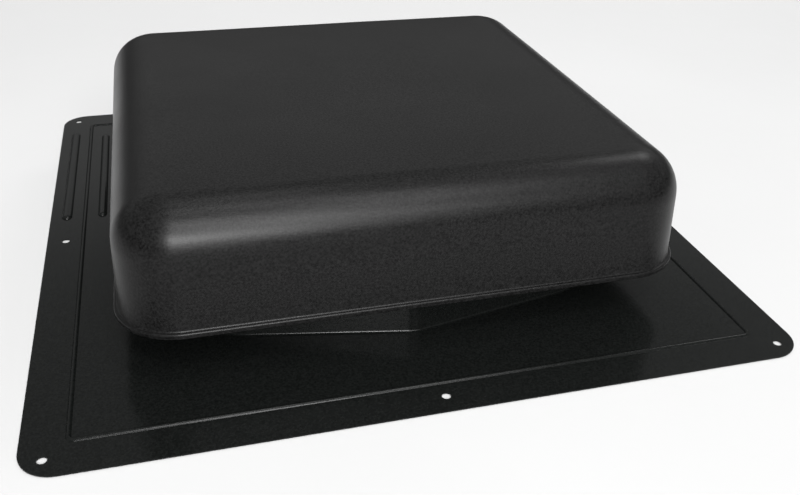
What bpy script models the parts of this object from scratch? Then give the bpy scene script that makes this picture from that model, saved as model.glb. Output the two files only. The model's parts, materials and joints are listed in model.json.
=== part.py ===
"""Square-top static roof vent: a flashing base with a drawn throat, and a fixed hood on four brackets.

Units are metres, +Z is up and +Y points up the roof slope. The origin is the middle of the base's underside.
"""
import bmesh
import bpy
from math import cos, pi, radians, sin, tan
from mathutils import Matrix

# Driving dimensions
GAP = 0.0003                # clearance between pieces that touch
SHEET = 0.0008              # thickness of the base and hood sheet
BASE_X = 0.470
BASE_Y = 0.495
BASE_CORNER = 0.021
BEAD_INSET = 0.0254         # stiffening bead, from the base's edge to its crest
BEAD_HALF = 0.0016
BEAD_HEIGHT = 0.0010
BEAD_CORNER = 0.0035
NAIL_HOLE = 0.0055
NAIL_INSET = 0.013
RIB_HEIGHT = 0.0020
RIB_START = 0.034           # front end of the ribs, up-slope of the middle
OUTER_RIB = {"x": 0.223, "half_width": 0.0040, "end": 0.203}
INNER_RIB = {"x": 0.1965, "half_width": 0.0035, "end": 0.195}
CENTRE_Y = -0.0055          # the throat and the hood sit a little down-slope
NECK_PEAK = 0.1635          # plan of the throat: reach of the blunt peak in each side
NECK_TILT = radians(11)     # how far each half side is turned by that peak
NECK_CORNER = 0.050
NECK_CREASE = 0.028         # radius of the soft bend at that peak
NECK_FILLET = 0.0016
NECK_HEIGHT = 0.048
LIP_WIDTH = 0.020           # lip that is turned in at the top of the throat
SCREEN_THICKNESS = 0.0010
FRAME_INSET = 0.0040        # screen frame, from the throat's wall
FRAME_WIDTH = 0.0145
HOOD_X = 0.182              # half sizes of the hood at its rim
HOOD_Y = 0.183
HOOD_CORNER = 0.040
RIM_BOTTOM = 0.0325
RIM_LIP = 0.0034
RIM_FLARE = 0.0023
RIM_FILLET = 0.0012
WALL_DRAFT = radians(2.1)
HOOD_TOP = 0.110
HOOD_ROUND = 0.031
HOOD_CROWN = 0.0008
BRACKET_WIDTH = 0.034
BRACKET_SHEET = 0.0012
BRACKET_FOOT = 0.0105
BRACKET_HEAD = 0.022
BRACKET_BEND = 0.0025
RIVET_SHANK = 0.0016        # radii and heights of a rivet
RIVET_HEAD = 0.0032
RIVET_DOME = 0.0010
RIVET_TAIL = 0.0024
RIVET_TAIL_END = 0.0019
RIVET_TAIL_LENGTH = 0.0016
RIVET_SPACING = 0.018
RIVET_INSET = 0.0125        # rivet centres, from the throat's wall
NAIL_HOLE_SIDES = 16
RIVET_SIDES = 10
DOME_STEPS = 3
CORNER_STEPS = 6
CREASE_STEPS = 3
CREASE_HALF = 0.0012

# Heights that follow from them
FRAME_SHEET = SHEET
LIP_TOP = NECK_HEIGHT
SCREEN_BOTTOM = LIP_TOP + GAP
SCREEN_TOP = SCREEN_BOTTOM + SCREEN_THICKNESS
FRAME_BOTTOM = SCREEN_TOP + GAP
FRAME_TOP = FRAME_BOTTOM + FRAME_SHEET
FOOT_BOTTOM = FRAME_TOP + GAP
FOOT_TOP = FOOT_BOTTOM + BRACKET_SHEET

# Black satin paint, and bare metals: colour, roughness, metallic
BLACK_PAINT = ((0.018, 0.019, 0.020), 0.38, 0.0)
GALVANISED = ((0.46, 0.48, 0.50), 0.42, 1.0)
WIRE = ((0.36, 0.38, 0.40), 0.38, 1.0)
ALUMINIUM = ((0.62, 0.63, 0.64), 0.34, 1.0)


def clear_scene():
    for obj in list(bpy.data.objects):
        bpy.data.objects.remove(obj, do_unlink=True)


def new_collection(name):
    collection = bpy.data.collections.new(name)
    bpy.context.scene.collection.children.link(collection)
    return collection


def make_material(name, look):
    colour, roughness, metallic = look
    material = bpy.data.materials.new(name)
    material.use_nodes = True
    shader = material.node_tree.nodes["Principled BSDF"]
    shader.inputs["Base Color"].default_value = (*colour, 1.0)
    shader.inputs["Roughness"].default_value = roughness
    shader.inputs["Metallic"].default_value = metallic
    return material


def add_object(name, bm, collection, look=None):
    mesh = bpy.data.meshes.new(name)
    bm.to_mesh(mesh)
    bm.free()
    obj = bpy.data.objects.new(name, mesh)
    collection.objects.link(obj)
    if look:
        mesh.materials.append(make_material(name, look))
        mesh.shade_smooth()
        mesh.set_sharp_from_angle(angle=radians(35))
    return obj


def arc(centre_x, centre_y, radius, start, end, steps):
    points = []
    for i in range(steps + 1):
        angle = start + (end - start) * i / steps
        points.append((centre_x + radius * cos(angle), centre_y + radius * sin(angle)))
    return points


def quarter_turned(points, turn):
    """Points of one side and its corner, turned by a number of quarter turns."""
    for _ in range(turn):
        points = [(-y, x) for x, y in points]
    return points


def rectangle_ring(half_x, half_y, radius, centre_y=0.0):
    """Rounded rectangle: for each side a short run at its middle, then the corner that follows it."""
    points = []
    for turn in range(4):
        reach, across = (half_x, half_y) if turn % 2 == 0 else (half_y, half_x)
        side = []
        for i in range(CREASE_STEPS + 1):
            side.append((reach, CREASE_HALF * (2 * i / CREASE_STEPS - 1)))
        side += arc(reach - radius, across - radius, radius, 0, pi / 2, CORNER_STEPS)
        points += quarter_turned(side, turn)
    return [(x, y + centre_y) for x, y in points]


def neck_ring(outward, centre_y=CENTRE_Y):
    """Plan of the throat, moved outward: a square whose sides come to a blunt peak at their middle."""
    flat = NECK_PEAK * cos(NECK_TILT) + outward
    crease = max(NECK_CREASE + outward, 2 * CREASE_HALF)
    corner = NECK_CORNER + outward
    crease_centre = (flat - crease) / cos(NECK_TILT)
    corner_centre = (flat - corner) / (cos(NECK_TILT) + sin(NECK_TILT))
    points = []
    for turn in range(4):
        side = arc(crease_centre, 0, crease, -NECK_TILT, NECK_TILT, CREASE_STEPS)
        side += arc(corner_centre, corner_centre, corner, NECK_TILT, pi / 2 - NECK_TILT, CORNER_STEPS)
        points += quarter_turned(side, turn)
    return [(x, y + centre_y) for x, y in points]


def loft(sections, close_last=False):
    """Skin through rings of equal point count, each given with its height; outward is to the right."""
    bm = bmesh.new()
    rings = []
    for ring, height in sections:
        rings.append([bm.verts.new((x, y, height)) for x, y in ring])
    count = len(rings[0])
    for lower, upper in zip(rings, rings[1:]):
        for i in range(count):
            j = (i + 1) % count
            bm.faces.new((lower[i], lower[j], upper[j], upper[i]))
    if close_last:
        bm.faces.new(rings[-1])
    return bm


def thicken(obj, thickness):
    """Gives an open surface its sheet thickness, on the side away from its normals."""
    solidify = obj.modifiers.new("sheet", "SOLIDIFY")
    solidify.thickness = thickness
    solidify.offset = -1
    solidify.use_even_offset = True


def boolean(obj, operation, tools):
    modifier = obj.modifiers.new(operation.lower(), "BOOLEAN")
    modifier.operation = operation
    modifier.solver = "EXACT"
    modifier.operand_type = "COLLECTION"
    modifier.collection = tools


def tool_collection(name):
    """Collection of cutters or joined shapes, which are guides and not pieces."""
    tools = bpy.data.collections.new(name)
    bpy.data.collections["cutters"].children.link(tools)
    return tools


def add_tool(name, bm, tools):
    tool = add_object(name, bm, tools)
    tool.hide_render = True
    tool.display_type = "WIRE"


def cylinder_tool(name, place, bottom, top, radius, sides, tools):
    bm = bmesh.new()
    bmesh.ops.create_cone(bm, cap_ends=True, segments=sides, radius1=radius, radius2=radius,
                          depth=top - bottom, matrix=Matrix.Translation((*place, (bottom + top) / 2)))
    add_tool(name, bm, tools)


def capsule_tool(name, x, start, end, middle, half_width, up, down, tools):
    """Long bar with round ends, oval in section, which reaches up and down from its middle plane."""
    bm = bmesh.new()
    bmesh.ops.create_uvsphere(bm, u_segments=12, v_segments=7, radius=1.0,
                              matrix=Matrix.Rotation(pi / 2, 4, "X"))
    half_length = (end - start) / 2 - half_width
    for vert in bm.verts:
        stretch = half_length if vert.co.y > 0 else -half_length
        vert.co.x = x + half_width * vert.co.x
        vert.co.y = (start + end) / 2 + half_width * vert.co.y + stretch
        vert.co.z = middle + (up if vert.co.z > 0 else down) * vert.co.z
    bmesh.ops.recalc_face_normals(bm, faces=bm.faces)
    add_tool(name, bm, tools)


def bead_sections():
    """Raised bead that runs round the base, from its outer foot over its crest to its inner foot."""
    sections = []
    steps = 4
    for i in range(steps + 1):
        swing = pi * i / steps
        inset = BEAD_INSET - BEAD_HALF * cos(swing)
        ring = rectangle_ring(BASE_X / 2 - inset, BASE_Y / 2 - inset, BEAD_CORNER + BEAD_HALF * cos(swing))
        sections.append((ring, SHEET + BEAD_HEIGHT * sin(swing)))
    return sections


def neck_sections():
    """Fillet at the foot of the throat, its wall, the turned-over top edge and the lip that faces in."""
    sections = []
    steps = 3
    for i in range(steps + 1):
        swing = pi / 2 * i / steps
        sections.append((neck_ring(NECK_FILLET * (1 - sin(swing))), SHEET + NECK_FILLET * (1 - cos(swing))))
    for i in range(steps + 1):
        swing = pi / 2 * i / steps
        sections.append((neck_ring(-NECK_FILLET * (1 - cos(swing))), LIP_TOP - NECK_FILLET * (1 - sin(swing))))
    sections.append((neck_ring(-LIP_WIDTH), LIP_TOP))
    return sections


def nail_places():
    edge_x = BASE_X / 2 - NAIL_INSET
    edge_y = BASE_Y / 2 - NAIL_INSET
    places = [(x, y) for y in (-edge_y, edge_y) for x in (-edge_x, 0, edge_x)]
    return places + [(-edge_x, 0), (edge_x, 0)]


def rivet_places():
    """Centre and outward direction of each screen rivet: a pair at each bracket foot, one in each corner."""
    reach = NECK_PEAK - RIVET_INSET / cos(NECK_TILT)
    corner = (NECK_PEAK * cos(NECK_TILT) - NECK_CORNER) / (cos(NECK_TILT) + sin(NECK_TILT))
    corner += (NECK_CORNER - RIVET_INSET) * sin(pi / 4)
    half = RIVET_SPACING / 2
    places = {}
    for turn, side in enumerate(("right", "rear", "left", "front")):
        for label, across in (("a", -half), ("b", half)):
            x, y = quarter_turned([(reach, across)], turn)[0]
            places[f"bracket_rivet_{side}_{label}"] = (x, y + CENTRE_Y)
    for turn, side in enumerate(("rear_right", "rear_left", "front_left", "front_right")):
        x, y = quarter_turned([(corner, corner)], turn)[0]
        places[f"frame_rivet_{side}"] = (x, y + CENTRE_Y)
    return places


def rivet_holes(name, bottom, top):
    tools = tool_collection(name)
    for label, place in rivet_places().items():
        cylinder_tool(f"{name}_{label}", place, bottom, top, RIVET_SHANK + GAP, RIVET_SIDES, tools)
    return tools


def make_base(collection):
    sections = [(rectangle_ring(BASE_X / 2, BASE_Y / 2, BASE_CORNER), SHEET)]
    sections += bead_sections() + neck_sections()
    base = add_object("base_flashing", loft(sections), collection, BLACK_PAINT)
    thicken(base, SHEET)
    crowns = tool_collection("rib_crowns")
    hollows = tool_collection("rib_hollows")
    for side in (-1, 1):
        for label, rib in (("outer", OUTER_RIB), ("inner", INNER_RIB)):
            name = f"{label}_{side}"
            x = side * rib["x"]
            rise = RIB_HEIGHT + SHEET / 2
            capsule_tool(f"crown_{name}", x, RIB_START, rib["end"], SHEET / 2, rib["half_width"],
                         rise, SHEET / 4, crowns)
            capsule_tool(f"hollow_{name}", x, RIB_START + SHEET, rib["end"] - SHEET, -SHEET / 2,
                         rib["half_width"] - SHEET, rise, rise, hollows)
    boolean(base, "UNION", crowns)
    boolean(base, "DIFFERENCE", hollows)
    holes = rivet_holes("base_holes", LIP_TOP - 2 * SHEET, LIP_TOP + SHEET)
    for i, place in enumerate(nail_places()):
        cylinder_tool(f"nail_hole_{i}", place, -SHEET, 2 * SHEET, NAIL_HOLE / 2, NAIL_HOLE_SIDES, holes)
    boolean(base, "DIFFERENCE", holes)


def make_screen(collection):
    """Insect screen: the outline of the wire cloth as one thin plate, clamped under the frame."""
    outline = neck_ring(-FRAME_INSET - SHEET)
    bm = loft([(outline, SCREEN_TOP)], close_last=True)
    screen = add_object("insect_screen", bm, collection, WIRE)
    thicken(screen, SCREEN_THICKNESS)
    boolean(screen, "DIFFERENCE", rivet_holes("screen_holes", SCREEN_BOTTOM - SHEET, SCREEN_TOP + SHEET))


def make_frame(collection):
    outer = neck_ring(-FRAME_INSET)
    inner = neck_ring(-FRAME_INSET - FRAME_WIDTH)
    frame = add_object("screen_frame", loft([(outer, FRAME_TOP), (inner, FRAME_TOP)]), collection, GALVANISED)
    thicken(frame, FRAME_SHEET)
    boolean(frame, "DIFFERENCE", rivet_holes("frame_holes", FRAME_BOTTOM - SHEET, FRAME_TOP + SHEET))


def bent_profile():
    """Side view of a bracket as reach and height: foot, riser and head, with rounded bends."""
    riser = NECK_PEAK - RIVET_INSET / cos(NECK_TILT) - BRACKET_FOOT / 2 - BRACKET_BEND
    head = HOOD_TOP - HOOD_CROWN - SHEET - GAP
    foot_end = riser + BRACKET_BEND + BRACKET_FOOT
    points = [(foot_end, FOOT_TOP)]
    points += arc(riser + BRACKET_BEND, FOOT_TOP + BRACKET_BEND, BRACKET_BEND, -pi / 2, -pi, CREASE_STEPS)
    points += arc(riser - BRACKET_BEND, head - BRACKET_BEND, BRACKET_BEND, 0, pi / 2, CREASE_STEPS)
    points.append((riser - BRACKET_BEND - BRACKET_HEAD, head))
    return points


def make_bracket(name, turn, collection):
    bm = bmesh.new()
    edges = []
    previous = None
    for reach, height in bent_profile():
        vert = bm.verts.new((reach, -BRACKET_WIDTH / 2, height))
        if previous:
            edges.append(bm.edges.new((previous, vert)))
        previous = vert
    swept = bmesh.ops.extrude_edge_only(bm, edges=edges)
    moved = [item for item in swept["geom"] if isinstance(item, bmesh.types.BMVert)]
    bmesh.ops.translate(bm, verts=moved, vec=(0, BRACKET_WIDTH, 0))
    bmesh.ops.transform(bm, verts=bm.verts, matrix=Matrix.Rotation(turn * pi / 2, 4, "Z"))
    for face in bm.faces:
        face.normal_update()
    top = max(bm.faces, key=lambda face: face.calc_center_median().z)
    if top.normal.z < 0:
        bmesh.ops.reverse_faces(bm, faces=bm.faces)
    bracket = add_object(name, bm, collection, GALVANISED)
    bracket.location = (0, CENTRE_Y, 0)
    thicken(bracket, BRACKET_SHEET)
    boolean(bracket, "DIFFERENCE", rivet_holes(f"{name}_holes", FOOT_BOTTOM - SHEET, FOOT_TOP + SHEET))


def make_hood(collection):
    """Hood as a drawn pan: rim lip, ledge, drafted wall, round shoulder and a slightly crowned top."""
    def ring(inset):
        return rectangle_ring(HOOD_X - inset, HOOD_Y - inset, max(HOOD_CORNER - inset, SHEET), CENTRE_Y)

    lip_top = RIM_BOTTOM + RIM_LIP
    wall_foot = lip_top + RIM_FILLET
    sections = [(ring(0), RIM_BOTTOM), (ring(0), lip_top - RIM_FILLET)]
    steps = 2
    for i in range(1, steps + 1):
        swing = pi / 2 * i / steps
        sections.append((ring(RIM_FILLET * (1 - cos(swing))), lip_top - RIM_FILLET * (1 - sin(swing))))
    for i in range(1, steps + 1):
        swing = pi / 2 * i / steps
        sections.append((ring(RIM_FLARE - RIM_FILLET * (1 - sin(swing))), wall_foot - RIM_FILLET * cos(swing)))
    shoulder = HOOD_TOP - HOOD_CROWN - HOOD_ROUND * (1 - sin(WALL_DRAFT))
    shoulder_inset = RIM_FLARE + (shoulder - wall_foot) * tan(WALL_DRAFT)
    steps = 7
    for i in range(steps + 1):
        swing = WALL_DRAFT + (pi / 2 - WALL_DRAFT) * i / steps
        inset = shoulder_inset + HOOD_ROUND * (cos(WALL_DRAFT) - cos(swing))
        sections.append((ring(inset), shoulder + HOOD_ROUND * (sin(swing) - sin(WALL_DRAFT))))
    flat_top = (HOOD_X - 2 * HOOD_ROUND) / 2
    sections.append((ring(shoulder_inset + HOOD_ROUND + flat_top), HOOD_TOP))
    hood = add_object("hood_shell", loft(sections, close_last=True), collection, BLACK_PAINT)
    thicken(hood, SHEET)


def make_rivet(name, place, tail, head, collection):
    """Blind rivet as a turned profile: domed head, shank and set tail."""
    tail_end = tail - RIVET_TAIL_LENGTH
    outline = []
    for i in range(DOME_STEPS + 1):
        swing = pi / 2 * i / DOME_STEPS
        outline.append((RIVET_HEAD * sin(swing), head + RIVET_DOME * cos(swing)))
    outline += [(RIVET_SHANK, head), (RIVET_SHANK, tail), (RIVET_TAIL, tail), (RIVET_TAIL_END, tail_end),
                (0, tail_end)]
    bm = bmesh.new()
    previous = None
    for radius, height in outline:
        vert = bm.verts.new((radius, 0, height))
        if previous:
            bm.edges.new((previous, vert))
        previous = vert
    rivet = add_object(name, bm, collection, ALUMINIUM)
    rivet.location = (*place, 0)
    screw = rivet.modifiers.new("turn", "SCREW")
    screw.steps = RIVET_SIDES
    screw.render_steps = RIVET_SIDES
    screw.use_merge_vertices = True
    screw.merge_threshold = 0.0001


def make_rivets(collection):
    tail = LIP_TOP - SHEET - GAP
    for name, place in rivet_places().items():
        seat = FOOT_TOP if name.startswith("bracket") else FRAME_TOP
        make_rivet(name, place, tail, seat + GAP, collection)


def main():
    clear_scene()
    pieces = new_collection("roof_vent")
    cutters = new_collection("cutters")
    cutters.hide_render = True
    make_base(pieces)
    make_screen(pieces)
    make_frame(pieces)
    for turn, side in enumerate(("right", "rear", "left", "front")):
        make_bracket(f"hood_bracket_{side}", turn, pieces)
    make_hood(pieces)
    make_rivets(pieces)


main()
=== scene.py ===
"""The looks of a square-top static roof vent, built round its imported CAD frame. Units are metres."""
import json
from math import cos, pi, radians, sin, tan

import bmesh
import bpy
from mathutils import Matrix, Vector, noise

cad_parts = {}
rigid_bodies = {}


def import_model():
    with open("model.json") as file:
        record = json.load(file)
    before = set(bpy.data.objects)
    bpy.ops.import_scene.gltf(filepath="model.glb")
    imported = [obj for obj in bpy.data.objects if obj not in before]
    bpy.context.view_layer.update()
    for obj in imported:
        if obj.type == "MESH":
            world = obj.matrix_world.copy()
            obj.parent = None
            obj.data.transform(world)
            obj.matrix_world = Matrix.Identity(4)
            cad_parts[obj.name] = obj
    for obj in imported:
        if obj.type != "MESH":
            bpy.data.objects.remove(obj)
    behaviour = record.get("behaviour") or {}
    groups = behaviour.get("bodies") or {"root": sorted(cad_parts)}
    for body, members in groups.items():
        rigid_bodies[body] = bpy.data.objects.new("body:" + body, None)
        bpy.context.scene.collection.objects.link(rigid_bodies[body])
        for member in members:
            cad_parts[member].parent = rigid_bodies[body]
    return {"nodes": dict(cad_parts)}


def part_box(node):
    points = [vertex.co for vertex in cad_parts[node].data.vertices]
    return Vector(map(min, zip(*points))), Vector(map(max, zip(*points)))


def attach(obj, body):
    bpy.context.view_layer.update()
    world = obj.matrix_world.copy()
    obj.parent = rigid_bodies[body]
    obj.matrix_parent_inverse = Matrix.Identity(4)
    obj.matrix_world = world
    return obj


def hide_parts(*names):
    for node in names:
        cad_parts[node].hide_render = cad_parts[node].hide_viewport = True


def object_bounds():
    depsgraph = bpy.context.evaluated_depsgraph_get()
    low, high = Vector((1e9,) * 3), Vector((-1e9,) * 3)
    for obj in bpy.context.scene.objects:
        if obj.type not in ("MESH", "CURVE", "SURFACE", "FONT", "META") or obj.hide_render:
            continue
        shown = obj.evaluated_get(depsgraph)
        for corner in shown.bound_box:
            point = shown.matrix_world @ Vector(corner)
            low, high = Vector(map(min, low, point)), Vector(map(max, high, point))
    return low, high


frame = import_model()
CAD_LOW, CAD_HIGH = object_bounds()

SHEET = 0.0008

# Base: half sizes from the frame, features as on the part
BASE_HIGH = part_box("base_flashing")[1]
BASE_HALF_X = BASE_HIGH.x
BASE_HALF_Y = BASE_HIGH.y
BASE_CORNER = 0.021
BEAD_INSET = 0.0254
BEAD_HALF = 0.0016
BEAD_HEIGHT = 0.0010
BEAD_CORNER = 0.0035
NAIL_HOLE = 0.0055
NAIL_INSET = 0.013
RIVET_HOLE_RADIUS = 0.0019
RIB_HEIGHT = 0.0020
RIB_START = 0.034
RIBS = ({"x": 0.223, "half_width": 0.0040, "end": 0.203}, {"x": 0.1965, "half_width": 0.0035, "end": 0.195})

# Throat: a square plan whose sides come to a blunt peak, bent at NECK_CREASE's radius
NECK_PEAK = 0.1635
NECK_TILT = radians(11)
NECK_CORNER = 0.050
NECK_CREASE = 0.028
NECK_FILLET = 0.0016
LIP_WIDTH = 0.020
LIP_TOP = BASE_HIGH.z

# Hood
HOOD_LOW, HOOD_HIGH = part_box("hood_shell")
CENTRE_Y = (HOOD_LOW.y + HOOD_HIGH.y) / 2
HOOD_X = HOOD_HIGH.x
HOOD_Y = (HOOD_HIGH.y - HOOD_LOW.y) / 2
HOOD_CORNER = 0.040
LEAST_CORNER = 0.0015
RIM_BOTTOM = HOOD_LOW.z
RIM_LIP = 0.0034
RIM_FLARE = 0.0023
RIM_HEM = 0.0017
HEM_ROLL = 0.0004
HEM_EASE = 0.0004
HEM_STEP = 0.0009
LIP_FILLET = 0.0011
WALL_DRAFT = radians(2.1)
HOOD_TOP = HOOD_HIGH.z
HOOD_ROUND = 0.031
HOOD_CROWN = 0.0008
CROWN_CENTRE = 0.006

# Hood's unevenness: waves as scale and share; rim's end and top's start as shares of the hood's height
WAVE_DEPTH = 0.0005
WAVES = ((9.0, 0.5), (23.0, 0.2))
RIM_END = 0.12
TOP_START = 0.75
TOP_BLEND = 0.2
SIDE_BIAS = 0.6
TOP_BIAS = 0.5

# Outlines: steps over the middle of a side, round a corner and along each straight run between them
CREASE_STEPS = 4
CORNER_STEPS = 12
RUN_STEPS = 14
CREASE_HALF = 0.0012

# Studio: soft panels as azimuth from the front towards +X and elevation in degrees, and power in watts
PANEL_TARGET = Vector((0.0, -0.1, 0.08))
PANEL_DISTANCE = 2.2
PANEL_SIZE = 0.42
PANELS = (
    (-8, 26, 36.0), (4, 45, 13.0), (-8, 58, 11.5), (-16, 34, 5.0), (-8, 10, 4.0), (16, 34, 5.8),
    (30, 58, 5.6), (120, 45, 5.0), (0, 18, 4.0), (40, 72, 5.2), (0, 88, 5.0), (10, 18, 2.2), (180, 70, 2.0)
)

# Room's tone by the sine of the elevation: 0 is the horizon and all below it, 1 straight up
ROOM_TONES = ((0.0, 0.02), (0.15, 0.05), (0.28, 0.24), (0.34, 0.44),
              (0.42, 0.66), (0.49, 0.36), (0.75, 0.36), (0.80, 0.60))

# Floor, with painted shade towards the front
FLOOR_HALF = 6.0
FLOOR_GAP = 0.0004
# The front colour is darker as painted shade, toning down the floor where the light is strongest
FLOOR_FRONT_PAINTED_SHADE = (0.46, 0.46, 0.46)
FLOOR_BACK = (0.76, 0.76, 0.76)

# Camera, solved from the photo's outlines
CAMERA_PLACE = (-0.1366, -0.6125, 0.3361)
CAMERA_AZIMUTH = radians(-15.707)
CAMERA_ELEVATION = radians(30.498)
CAMERA_ROLL = radians(-1.428)
LENS_MM = 39.924
SENSOR_MM = 36.0

# Screen: eight wires to the inch
SCREEN_LOW, SCREEN_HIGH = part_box("insect_screen")
SCREEN_INSET = 0.0052
SCREEN_MARGIN = 0.006
WIRE_PITCH = 25.4e-3 / 8
WIRE_RADIUS = 0.00024
WIRE_SWAY = 1.02 * WIRE_RADIUS
WIRE_SIDES = 6
SHORTEST_WIRE = 4 * WIRE_PITCH

DUST = (0.11, 0.11, 0.105)


# ---------------------------------------------------------------- outlines and lofts
def arc(centre_x, centre_y, radius, start, end, steps):
    """Points of an arc, both ends included."""
    points = []
    for i in range(steps + 1):
        angle = start + (end - start) * i / steps
        points.append((centre_x + radius * cos(angle), centre_y + radius * sin(angle)))
    return points


def run(start, end, steps):
    """Evenly spaced points between two points, both left out."""
    return [(start[0] + (end[0] - start[0]) * i / steps, start[1] + (end[1] - start[1]) * i / steps)
            for i in range(1, steps)]


def quarter_turned(points, turns):
    for _ in range(turns):
        points = [(-y, x) for x, y in points]
    return points


def closed_side(crease, corner, next_start, steps):
    """One side of an outline: its middle, a straight run, its corner and a straight run to the next side."""
    return crease + run(crease[-1], corner[0], steps) + corner + run(corner[-1], next_start, steps)


def rectangle_ring(half_x, half_y, radius, centre_y=0.0, corner_steps=CORNER_STEPS, run_steps=RUN_STEPS):
    """Rounded rectangle, with points in the middle of each side to pair with those of the throat's peaks."""
    points = []
    for turn in range(4):
        reach, across = (half_x, half_y) if turn % 2 == 0 else (half_y, half_x)
        crease = [(reach, CREASE_HALF * (2 * i / CREASE_STEPS - 1)) for i in range(CREASE_STEPS + 1)]
        corner = arc(reach - radius, across - radius, radius, 0, pi / 2, corner_steps)
        points += quarter_turned(closed_side(crease, corner, (CREASE_HALF, across), run_steps), turn)
    return [(x, y + centre_y) for x, y in points]


def neck_ring(outward):
    """The throat's outline, moved outward by a distance."""
    flat = NECK_PEAK * cos(NECK_TILT) + outward
    crease_radius = NECK_CREASE + outward
    corner_radius = NECK_CORNER + outward
    crease_centre = (flat - crease_radius) / cos(NECK_TILT)
    corner_centre = (flat - corner_radius) / (cos(NECK_TILT) + sin(NECK_TILT))
    points = []
    for turn in range(4):
        crease = arc(crease_centre, 0, crease_radius, -NECK_TILT, NECK_TILT, CREASE_STEPS)
        corner = arc(corner_centre, corner_centre, corner_radius, NECK_TILT, pi / 2 - NECK_TILT, CORNER_STEPS)
        next_start = (-crease[0][1], crease[0][0])
        points += quarter_turned(closed_side(crease, corner, next_start, RUN_STEPS), turn)
    return [(x, y + CENTRE_Y) for x, y in points]


def blended(ring_a, ring_b, share):
    """The outline that lies a share of the way from one outline to another."""
    return [(ax + (bx - ax) * share, ay + (by - ay) * share) for (ax, ay), (bx, by) in zip(ring_a, ring_b)]


def loft(sections, capped=False):
    """Skin through outlines at their heights, open or capped at both ends."""
    bm = bmesh.new()
    rings = []
    for ring, height in sections:
        rings.append([bm.verts.new((x, y, height)) for x, y in ring])
    count = len(rings[0])
    for lower, upper in zip(rings, rings[1:]):
        for i in range(count):
            j = (i + 1) % count
            bm.faces.new((lower[i], lower[j], upper[j], upper[i]))
    if capped:
        bm.faces.new(list(reversed(rings[0])))
        bm.faces.new(rings[-1])
    return bm


# ---------------------------------------------------------------- objects
def new_object(name, bm, collection):
    mesh = bpy.data.meshes.new(name)
    bm.to_mesh(mesh)
    bm.free()
    obj = bpy.data.objects.new(name, mesh)
    collection.objects.link(obj)
    return obj


def add_object(name, bm, material):
    obj = new_object(name, bm, bpy.context.scene.collection)
    obj.data.materials.append(material)
    return obj


def applied(obj):
    """Turns an object's modifiers into its mesh."""
    bpy.context.view_layer.update()
    evaluated = obj.evaluated_get(bpy.context.evaluated_depsgraph_get())
    mesh = bpy.data.meshes.new_from_object(evaluated)
    obj.modifiers.clear()
    obj.data = mesh
    return obj


def smooth(obj, angle):
    """Smooth shading up to an angle in degrees, with normals that keep flat sheet flat."""
    obj.data.shade_smooth()
    obj.data.set_sharp_from_angle(angle=radians(angle))
    modifier = obj.modifiers.new("normals", "WEIGHTED_NORMAL")
    modifier.keep_sharp = True
    modifier.weight = 100
    return applied(obj)


def combine(obj, operation, tools):
    """Joins or cuts an object with all the tools of a collection, and removes them."""
    modifier = obj.modifiers.new(operation.lower(), "BOOLEAN")
    modifier.operation = operation
    modifier.solver = "EXACT"
    modifier.operand_type = "COLLECTION"
    modifier.collection = tools
    applied(obj)
    for tool in list(tools.objects):
        bpy.data.objects.remove(tool)
    bpy.data.collections.remove(tools)


def new_tools(name):
    tools = bpy.data.collections.new(name)
    bpy.context.scene.collection.children.link(tools)
    return tools


# ---------------------------------------------------------------- materials
class Nodes:
    """A material with its Principled shader, and short calls for the nodes that feed it."""

    def __init__(self, name):
        self.material = bpy.data.materials.new(name)
        self.material.use_nodes = True
        self.tree = self.material.node_tree
        self.shader = self.tree.nodes["Principled BSDF"]
        self.place = self.tree.nodes.new("ShaderNodeTexCoord").outputs["Object"]

    def set(self, **values):
        for name, value in values.items():
            self.shader.inputs[name].default_value = value

    def link(self, output, target):
        self.tree.links.new(output, self.shader.inputs[target])

    def noise(self, scale, detail=2.0, roughness=0.5):
        node = self.tree.nodes.new("ShaderNodeTexNoise")
        node.inputs["Scale"].default_value = scale
        node.inputs["Detail"].default_value = detail
        node.inputs["Roughness"].default_value = roughness
        self.tree.links.new(self.place, node.inputs["Vector"])
        return node.outputs["Fac"]

    def cells(self, scale, output):
        """Voronoi cells; the output is Distance from a cell's point or its Color."""
        node = self.tree.nodes.new("ShaderNodeTexVoronoi")
        node.inputs["Scale"].default_value = scale
        self.tree.links.new(self.place, node.inputs["Vector"])
        return node.outputs[output]

    def ramp(self, source, low, high, start=0.3, end=0.7):
        """Maps start..end of the source to low..high and holds it inside them."""
        node = self.tree.nodes.new("ShaderNodeMapRange")
        node.inputs["From Min"].default_value = start
        node.inputs["From Max"].default_value = end
        node.inputs["To Min"].default_value = low
        node.inputs["To Max"].default_value = high
        self.tree.links.new(source, node.inputs["Value"])
        return node.outputs["Result"]

    def blend(self, share, first, second):
        """Colour between two, each a colour or a socket."""
        node = self.tree.nodes.new("ShaderNodeMix")
        node.data_type = "RGBA"
        for value, slot in ((first, "A"), (second, "B")):
            socket = [s for s in node.inputs if s.name == slot and s.type == "RGBA"][0]
            if isinstance(value, tuple):
                socket.default_value = (*value, 1.0)
            else:
                self.tree.links.new(value, socket)
        factor = [s for s in node.inputs if s.name == "Factor" and s.type == "VALUE"][0]
        self.tree.links.new(share, factor)
        return [s for s in node.outputs if s.type == "RGBA"][0]

    def math(self, operation, first, second):
        node = self.tree.nodes.new("ShaderNodeMath")
        node.operation = operation
        self.tree.links.new(first, node.inputs[0])
        self.tree.links.new(second, node.inputs[1])
        return node.outputs["Value"]

    def bump(self, height, depth, strength, under=None):
        node = self.tree.nodes.new("ShaderNodeBump")
        node.inputs["Strength"].default_value = strength
        node.inputs["Distance"].default_value = depth
        self.tree.links.new(height, node.inputs["Height"])
        if under:
            self.tree.links.new(under, node.inputs["Normal"])
        return node.outputs["Normal"]


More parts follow.
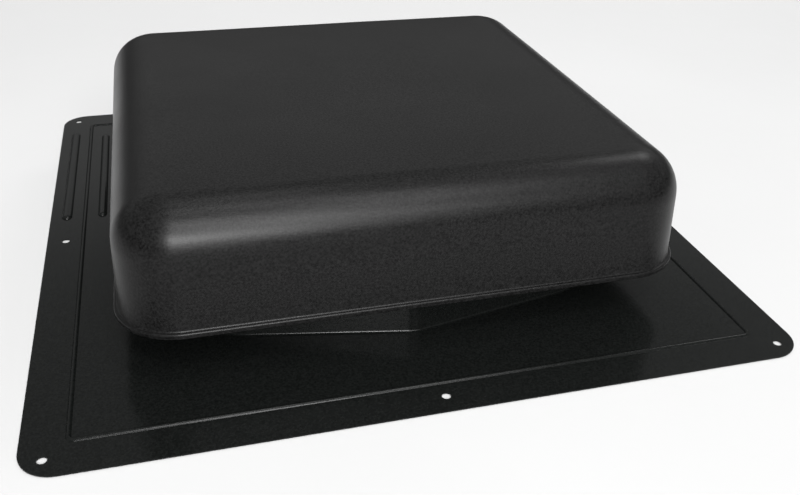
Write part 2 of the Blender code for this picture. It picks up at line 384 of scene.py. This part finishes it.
def satin_paint(name, dark, light, rough_low, rough_high, grain_depth, ior):
    """Satin black paint: fine grain over soft peel, slow cloudy changes of gloss and a few specks of dust."""
    nodes = Nodes(name)
    grain = nodes.noise(scale=750, roughness=0.6)
    clouds = nodes.noise(scale=9, detail=3.0, roughness=0.55)
    paint = nodes.blend(nodes.ramp(grain, 0.0, 1.0), dark, light)
    specks = nodes.ramp(nodes.cells(90, "Distance"), 1.0, 0.0, start=0.018, end=0.035)
    rare = nodes.ramp(nodes.noise(scale=34, detail=1.0), 0.0, 1.0, start=0.66, end=0.68)
    dust = nodes.math("MULTIPLY", specks, rare)
    nodes.link(nodes.blend(dust, paint, DUST), "Base Color")
    nodes.link(nodes.ramp(clouds, rough_low, rough_high, start=0.35, end=0.65), "Roughness")
    peel = nodes.bump(nodes.noise(scale=420), depth=0.00012, strength=0.25)
    nodes.link(nodes.bump(grain, grain_depth, strength=0.6, under=peel), "Normal")
    nodes.set(Metallic=0.0, IOR=ior)
    return nodes.material


def galvanised(name):
    """Zinc coat with its spangle: crystal cells of differing tone and gloss."""
    nodes = Nodes(name)
    spangle = nodes.cells(110, "Color")
    tone = nodes.tree.nodes.new("ShaderNodeSeparateColor")
    nodes.tree.links.new(spangle, tone.inputs["Color"])
    share = tone.outputs["Red"]
    nodes.link(nodes.blend(share, (0.33, 0.345, 0.36), (0.56, 0.58, 0.60)), "Base Color")
    nodes.link(nodes.ramp(share, 0.30, 0.52, start=0.0, end=1.0), "Roughness")
    nodes.link(nodes.bump(nodes.noise(scale=900), depth=0.00005, strength=0.3), "Normal")
    nodes.set(Metallic=1.0)
    return nodes.material


def drawn_metal(name, dark, light, rough_low, rough_high):
    """Bare drawn or headed metal with fine marks and a dull bloom."""
    nodes = Nodes(name)
    marks = nodes.noise(scale=2400, detail=3.0, roughness=0.6)
    bloom = nodes.noise(scale=160)
    nodes.link(nodes.blend(nodes.ramp(bloom, 0.0, 1.0, start=0.35, end=0.65), dark, light), "Base Color")
    nodes.link(nodes.ramp(marks, rough_low, rough_high), "Roughness")
    nodes.link(nodes.bump(marks, depth=0.00003, strength=0.3), "Normal")
    nodes.set(Metallic=1.0)
    return nodes.material


def floor_material():
    """Pale floor with painted shade: a little greyer in front, where the light is strongest."""
    nodes = Nodes("pale_floor")
    split = nodes.tree.nodes.new("ShaderNodeSeparateXYZ")
    nodes.tree.links.new(nodes.place, split.inputs["Vector"])
    # Share of the back colour by Y, so the front keeps its painted shade
    painted_shade_fade = nodes.ramp(split.outputs["Y"], 0.0, 1.0, start=-0.5, end=0.9)
    mottle = nodes.ramp(nodes.noise(scale=3), -0.03, 0.03)
    tone = nodes.math("ADD", painted_shade_fade, mottle)
    nodes.link(nodes.blend(tone, FLOOR_FRONT_PAINTED_SHADE, FLOOR_BACK), "Base Color")
    nodes.link(nodes.ramp(nodes.noise(scale=40), 0.75, 0.85), "Roughness")
    return nodes.material


# ---------------------------------------------------------------- base
def bead_sections():
    """The raised bead that runs round the base, from its outer to its inner foot."""
    steps = 12
    sections = []
    for i in range(steps + 1):
        swing = pi * i / steps
        inset = BEAD_INSET - BEAD_HALF * cos(swing)
        ring = rectangle_ring(BASE_HALF_X - inset, BASE_HALF_Y - inset, BEAD_CORNER + BEAD_HALF * cos(swing))
        sections.append((ring, SHEET + BEAD_HEIGHT * sin(swing) ** 2))
    return sections


def neck_sections():
    """The throat's foot fillet, its wall, the fillet at its top and its lip."""
    steps = 8
    swings = [pi / 2 * i / steps for i in range(steps + 1)]
    foot = [(neck_ring(NECK_FILLET * (1 - sin(swing))), SHEET + NECK_FILLET * (1 - cos(swing)))
            for swing in swings]
    top = [(neck_ring(-NECK_FILLET * (1 - cos(swing))), LIP_TOP - NECK_FILLET * (1 - sin(swing)))
           for swing in swings]
    return foot + top + [(neck_ring(-LIP_WIDTH), LIP_TOP)]


def capsule(x, start, end, middle, half_width, up, down):
    """Long rounded lump along Y: its reach up and down from a middle height is given."""
    bm = bmesh.new()
    turn = Matrix.Rotation(pi / 2, 4, "X")
    bmesh.ops.create_uvsphere(bm, u_segments=32, v_segments=17, radius=1.0, matrix=turn)
    half_length = (end - start) / 2 - half_width
    for vert in bm.verts:
        stretch = half_length if vert.co.y > 0 else -half_length
        vert.co.x = x + half_width * vert.co.x
        vert.co.y = (start + end) / 2 + half_width * vert.co.y + stretch
        vert.co.z = middle + (up if vert.co.z > 0 else down) * vert.co.z
    bmesh.ops.recalc_face_normals(bm, faces=bm.faces)
    return bm


def drill(place, bottom, top, radius, sides):
    bm = bmesh.new()
    middle = Matrix.Translation((*place, (bottom + top) / 2))
    bmesh.ops.create_cone(bm, cap_ends=True, segments=sides, radius1=radius, radius2=radius,
                          depth=top - bottom, matrix=middle)
    return bm


def rivet_places():
    """Rivet centres, as the middle of each CAD rivet's box."""
    places = []
    for name in frame["nodes"]:
        if "_rivet_" in name:
            low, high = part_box(name)
            places.append(((low.x + high.x) / 2, (low.y + high.y) / 2))
    return places


def nail_places():
    """Nail holes at the corners and the middle of each side."""
    edge_x = BASE_HALF_X - NAIL_INSET
    edge_y = BASE_HALF_Y - NAIL_INSET
    places = [(x, y) for y in (-edge_y, edge_y) for x in (-edge_x, 0, edge_x)]
    return places + [(-edge_x, 0), (edge_x, 0)]


def make_base(material):
    """One pressed sheet: border, bead, panel and throat, then ribs, nail holes and rivet holes."""
    edge = [(rectangle_ring(BASE_HALF_X, BASE_HALF_Y, BASE_CORNER), SHEET)]
    bead = bead_sections()
    neck = neck_sections()
    panel_steps = 8
    panel = [(blended(bead[-1][0], neck[0][0], i / panel_steps), SHEET) for i in range(1, panel_steps)]
    base = add_object("base_flashing_sheet", loft(edge + bead + panel + neck), material)
    solidify = base.modifiers.new("sheet", "SOLIDIFY")
    solidify.thickness = SHEET
    solidify.offset = -1
    solidify.use_even_offset = True
    applied(base)
    crowns = new_tools("rib_crowns")
    hollows = new_tools("rib_hollows")
    rise = RIB_HEIGHT + SHEET / 2
    for side in (-1, 1):
        for rib in RIBS:
            x = side * rib["x"]
            name = f"rib_{x:.3f}"
            crown = capsule(x, RIB_START, rib["end"], SHEET / 2, rib["half_width"], rise, SHEET / 4)
            hollow = capsule(x, RIB_START + SHEET, rib["end"] - SHEET, -SHEET / 2,
                             rib["half_width"] - SHEET, rise, rise)
            new_object(name, crown, crowns)
            new_object(name, hollow, hollows)
    combine(base, "UNION", crowns)
    combine(base, "DIFFERENCE", hollows)
    holes = new_tools("holes")
    for place in nail_places():
        new_object("nail", drill(place, -SHEET, 2 * SHEET, NAIL_HOLE / 2, sides=48), holes)
    for place in rivet_places():
        hole = drill(place, LIP_TOP - 2 * SHEET, LIP_TOP + SHEET, RIVET_HOLE_RADIUS, sides=24)
        new_object("rivet", hole, holes)
    combine(base, "DIFFERENCE", holes)
    smooth(base, angle=35)
    return base


# ---------------------------------------------------------------- hood
def hood_ring(inset):
    radius = max(HOOD_CORNER - inset, LEAST_CORNER)
    return rectangle_ring(HOOD_X - inset, HOOD_Y - inset, radius, CENTRE_Y, corner_steps=16, run_steps=16)


def hood_skin(wall_foot, foot_inset, radius, top):
    """Drafted wall, round shoulder and crowned top, from the wall's foot inwards, as inset and height."""
    wall_steps, shoulder_steps, crown_steps = 8, 18, 14
    start = top - HOOD_CROWN - radius * (1 - sin(WALL_DRAFT))
    rise = start - wall_foot
    places = []
    for i in range(wall_steps):
        share = i / wall_steps
        places.append((foot_inset + rise * share * tan(WALL_DRAFT), wall_foot + rise * share))
    edge = foot_inset + rise * tan(WALL_DRAFT)
    for i in range(shoulder_steps + 1):
        swing = WALL_DRAFT + (pi / 2 - WALL_DRAFT) * i / shoulder_steps
        places.append((edge + radius * (cos(WALL_DRAFT) - cos(swing)),
                       start + radius * (sin(swing) - sin(WALL_DRAFT))))
    crown_start = places[-1][0]
    for i in range(1, crown_steps + 1):
        share = i / crown_steps
        inset = crown_start + (HOOD_X - crown_start - CROWN_CENTRE) * share
        places.append((inset, top - HOOD_CROWN * (1 - share) ** 2))
    return places


def make_hood(material):
    """Pressed pan with a hemmed rim: inner skin from the top down, the hem and the outer skin back up."""
    lip_top = RIM_BOTTOM + RIM_LIP
    wall_foot = lip_top + LIP_FILLET
    inner = hood_skin(wall_foot, RIM_FLARE + SHEET, HOOD_ROUND - SHEET, HOOD_TOP - SHEET)
    outer = hood_skin(wall_foot, RIM_FLARE, HOOD_ROUND, HOOD_TOP)
    hem_inner = [(RIM_FLARE + SHEET, wall_foot - HEM_EASE), (RIM_HEM + HEM_STEP, lip_top - SHEET),
                 (RIM_HEM, lip_top - SHEET - HEM_EASE)]
    hem = [(RIM_HEM, RIM_BOTTOM + HEM_ROLL)]
    hem += arc(RIM_HEM - HEM_ROLL, RIM_BOTTOM + HEM_ROLL, HEM_ROLL, 0, -pi / 2, steps=4)[1:]
    hem += arc(HEM_ROLL, RIM_BOTTOM + HEM_ROLL, HEM_ROLL, -pi / 2, -pi, steps=4)
    hem += arc(LIP_FILLET, lip_top - LIP_FILLET, LIP_FILLET, pi, pi / 2, steps=6)
    foot = arc(RIM_FLARE - LIP_FILLET, lip_top + LIP_FILLET, LIP_FILLET, -pi / 2, 0, steps=6)
    profile = list(reversed(inner)) + hem_inner + hem + foot + outer[1:]
    sections = [(hood_ring(inset), height) for inset, height in profile]
    hood = add_object("hood_pan", loft(sections, capped=True), material)
    uneven(hood)
    smooth(hood, angle=50)
    return hood


def uneven(hood):
    """Slow shallow waves that a pressed sheet keeps, fading out towards the rim and held inside the top."""
    for vert in hood.data.vertices:
        height = (vert.co.z - RIM_BOTTOM) / (HOOD_TOP - RIM_BOTTOM)
        wave = sum(noise.noise(vert.co * scale) * share for scale, share in WAVES)
        amount = WAVE_DEPTH * max(0.0, height) ** 0.5
        outward = Vector((vert.co.x, vert.co.y - CENTRE_Y, 0)).normalized()
        side = 1 - min(1.0, max(0.0, (height - TOP_START) / TOP_BLEND))
        vert.co -= outward * amount * (SIDE_BIAS + wave) * side * (1 if height > RIM_END else 0)
        vert.co.z -= amount * (TOP_BIAS + wave) * (1 - side)


# ---------------------------------------------------------------- screen
def chord(outline, axis, place):
    """Where a straight line crosses a convex outline, as the two places along the other axis."""
    hits = []
    for a, b in zip(outline, outline[1:] + outline[:1]):
        low, high = sorted((a[axis], b[axis]))
        if low <= place < high:
            share = (place - a[axis]) / (b[axis] - a[axis])
            hits.append(a[1 - axis] + (b[1 - axis] - a[1 - axis]) * share)
    return (min(hits), max(hits)) if len(hits) >= 2 else None


def weave_wire(bm, axis, place, low, high, phase, middle):
    """One wire of the cloth: a closed tube that passes over and under the wires it crosses."""
    first = int((low + WIRE_PITCH) // (WIRE_PITCH / 2))
    last = int((high - WIRE_PITCH / 2) // (WIRE_PITCH / 2))
    stations = [low] + [i * WIRE_PITCH / 2 for i in range(first, last + 1)] + [high]
    previous = None
    for station in stations:
        height = middle + WIRE_SWAY * cos(pi * station / WIRE_PITCH + phase)
        ring = []
        for k in range(WIRE_SIDES):
            angle = 2 * pi / WIRE_SIDES * k
            across = place + WIRE_RADIUS * cos(angle)
            up = height + WIRE_RADIUS * sin(angle)
            ring.append(bm.verts.new((across, station, up) if axis == 0 else (station, across, up)))
        if previous:
            for k in range(WIRE_SIDES):
                n = (k + 1) % WIRE_SIDES
                bm.faces.new((previous[k], previous[n], ring[n], ring[k]))
        else:
            bm.faces.new(ring)
        previous = ring
    bm.faces.new(previous)


def make_screen(material):
    """Plain-woven wire cloth, cut to the throat's outline."""
    outline = neck_ring(-SCREEN_INSET)
    middle = (SCREEN_LOW.z + SCREEN_HIGH.z) / 2
    bm = bmesh.new()
    for axis in (0, 1):
        centre = 0.0 if axis == 0 else CENTRE_Y
        count = int((NECK_PEAK - SCREEN_MARGIN) / WIRE_PITCH)
        for i in range(-count, count + 1):
            place = centre + i * WIRE_PITCH
            span = chord(outline, axis, place)
            if span and span[1] - span[0] > SHORTEST_WIRE:
                phase = pi * i + (pi if axis else 0)
                weave_wire(bm, axis, place, span[0], span[1], phase, middle)
    bmesh.ops.recalc_face_normals(bm, faces=bm.faces)
    screen = add_object("woven_wire_screen", bm, material)
    screen.data.shade_smooth()
    return screen


# ---------------------------------------------------------------- stage, light and camera
def make_floor():
    bm = bmesh.new()
    bmesh.ops.create_grid(bm, x_segments=1, y_segments=1, size=FLOOR_HALF)
    floor = add_object("floor", bm, floor_material())
    floor.location.z = CAD_LOW.z - FLOOR_GAP


def soft_panel(azimuth, elevation, power):
    """Square light that faces the target from a set distance."""
    data = bpy.data.lights.new("soft_panel", "AREA")
    data.shape = "SQUARE"
    data.size = PANEL_SIZE
    data.energy = power
    light = bpy.data.objects.new("soft_panel", data)
    bpy.context.scene.collection.objects.link(light)
    across, up = radians(azimuth), radians(elevation)
    towards = Vector((sin(across) * cos(up), -cos(across) * cos(up), sin(up)))
    light.location = PANEL_TARGET + PANEL_DISTANCE * towards
    light.rotation_euler = towards.to_track_quat("Z", "Y").to_euler()


def make_world():
    """Room that is dark at the horizon, brightest 25 degrees up, duller above and bright again overhead."""
    world = bpy.data.worlds.new("studio")
    bpy.context.scene.world = world
    world.use_nodes = True
    nodes = world.node_tree.nodes
    links = world.node_tree.links
    background = nodes["Background"]
    place = nodes.new("ShaderNodeTexCoord")
    split = nodes.new("ShaderNodeSeparateXYZ")
    ramp = nodes.new("ShaderNodeValToRGB")
    links.new(place.outputs["Generated"], split.inputs["Vector"])
    links.new(split.outputs["Z"], ramp.inputs["Fac"])
    links.new(ramp.outputs["Color"], background.inputs["Color"])
    while len(ramp.color_ramp.elements) < len(ROOM_TONES):
        ramp.color_ramp.elements.new(0.5)
    for element, (position, tone) in zip(ramp.color_ramp.elements, ROOM_TONES):
        element.position = position
        element.color = (tone, tone, tone, 1.0)
    background.inputs["Strength"].default_value = 1.0


def make_camera():
    data = bpy.data.cameras.new("camera")
    data.sensor_width = SENSOR_MM
    data.lens = LENS_MM
    camera = bpy.data.objects.new("camera", data)
    bpy.context.scene.collection.objects.link(camera)
    azimuth, elevation, roll = CAMERA_AZIMUTH, CAMERA_ELEVATION, CAMERA_ROLL
    forward = Vector((-sin(azimuth) * cos(elevation), cos(azimuth) * cos(elevation), -sin(elevation)))
    right = Vector((cos(azimuth), sin(azimuth), 0))
    down = forward.cross(right)
    right, down = cos(roll) * right + sin(roll) * down, -sin(roll) * right + cos(roll) * down
    turn = Matrix((right, -down, -forward)).transposed().to_4x4()
    camera.matrix_world = Matrix.Translation(CAMERA_PLACE) @ turn
    bpy.context.scene.camera = camera


def main():
    base_paint = satin_paint("base_satin", dark=(0.003, 0.0034, 0.0032), light=(0.0075, 0.0082, 0.0078),
                             rough_low=0.16, rough_high=0.20, grain_depth=0.00003, ior=1.24)
    hood_paint = satin_paint("hood_satin", dark=(0.0005, 0.0005, 0.0005), light=(0.0095, 0.0095, 0.0095),
                             rough_low=0.30, rough_high=0.34, grain_depth=0.00006, ior=1.26)
    zinc = galvanised("galvanised_sheet")
    wire = drawn_metal("galvanised_wire", dark=(0.30, 0.315, 0.33), light=(0.42, 0.44, 0.46),
                       rough_low=0.32, rough_high=0.46)
    aluminium = drawn_metal("rivet_aluminium", dark=(0.52, 0.53, 0.54), light=(0.66, 0.67, 0.68),
                            rough_low=0.28, rough_high=0.42)

    for name, obj in frame["nodes"].items():
        if name.startswith("hood_bracket") or name == "screen_frame":
            obj.data.materials.clear()
            obj.data.materials.append(zinc)
        elif "_rivet_" in name:
            obj.data.materials.clear()
            obj.data.materials.append(aluminium)

    for piece, node, slot in ((make_base(base_paint), "base_flashing", "black_paint"),
                              (make_hood(hood_paint), "hood_shell", "hood_paint"),
                              (make_screen(wire), "insect_screen", "screen_wire")):
        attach(piece, "root")
        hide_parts(node)

    make_floor()
    make_world()
    for azimuth, elevation, power in PANELS:
        soft_panel(azimuth, elevation, power)
    make_camera()
    bpy.context.scene.view_settings.view_transform = "Standard"


main()
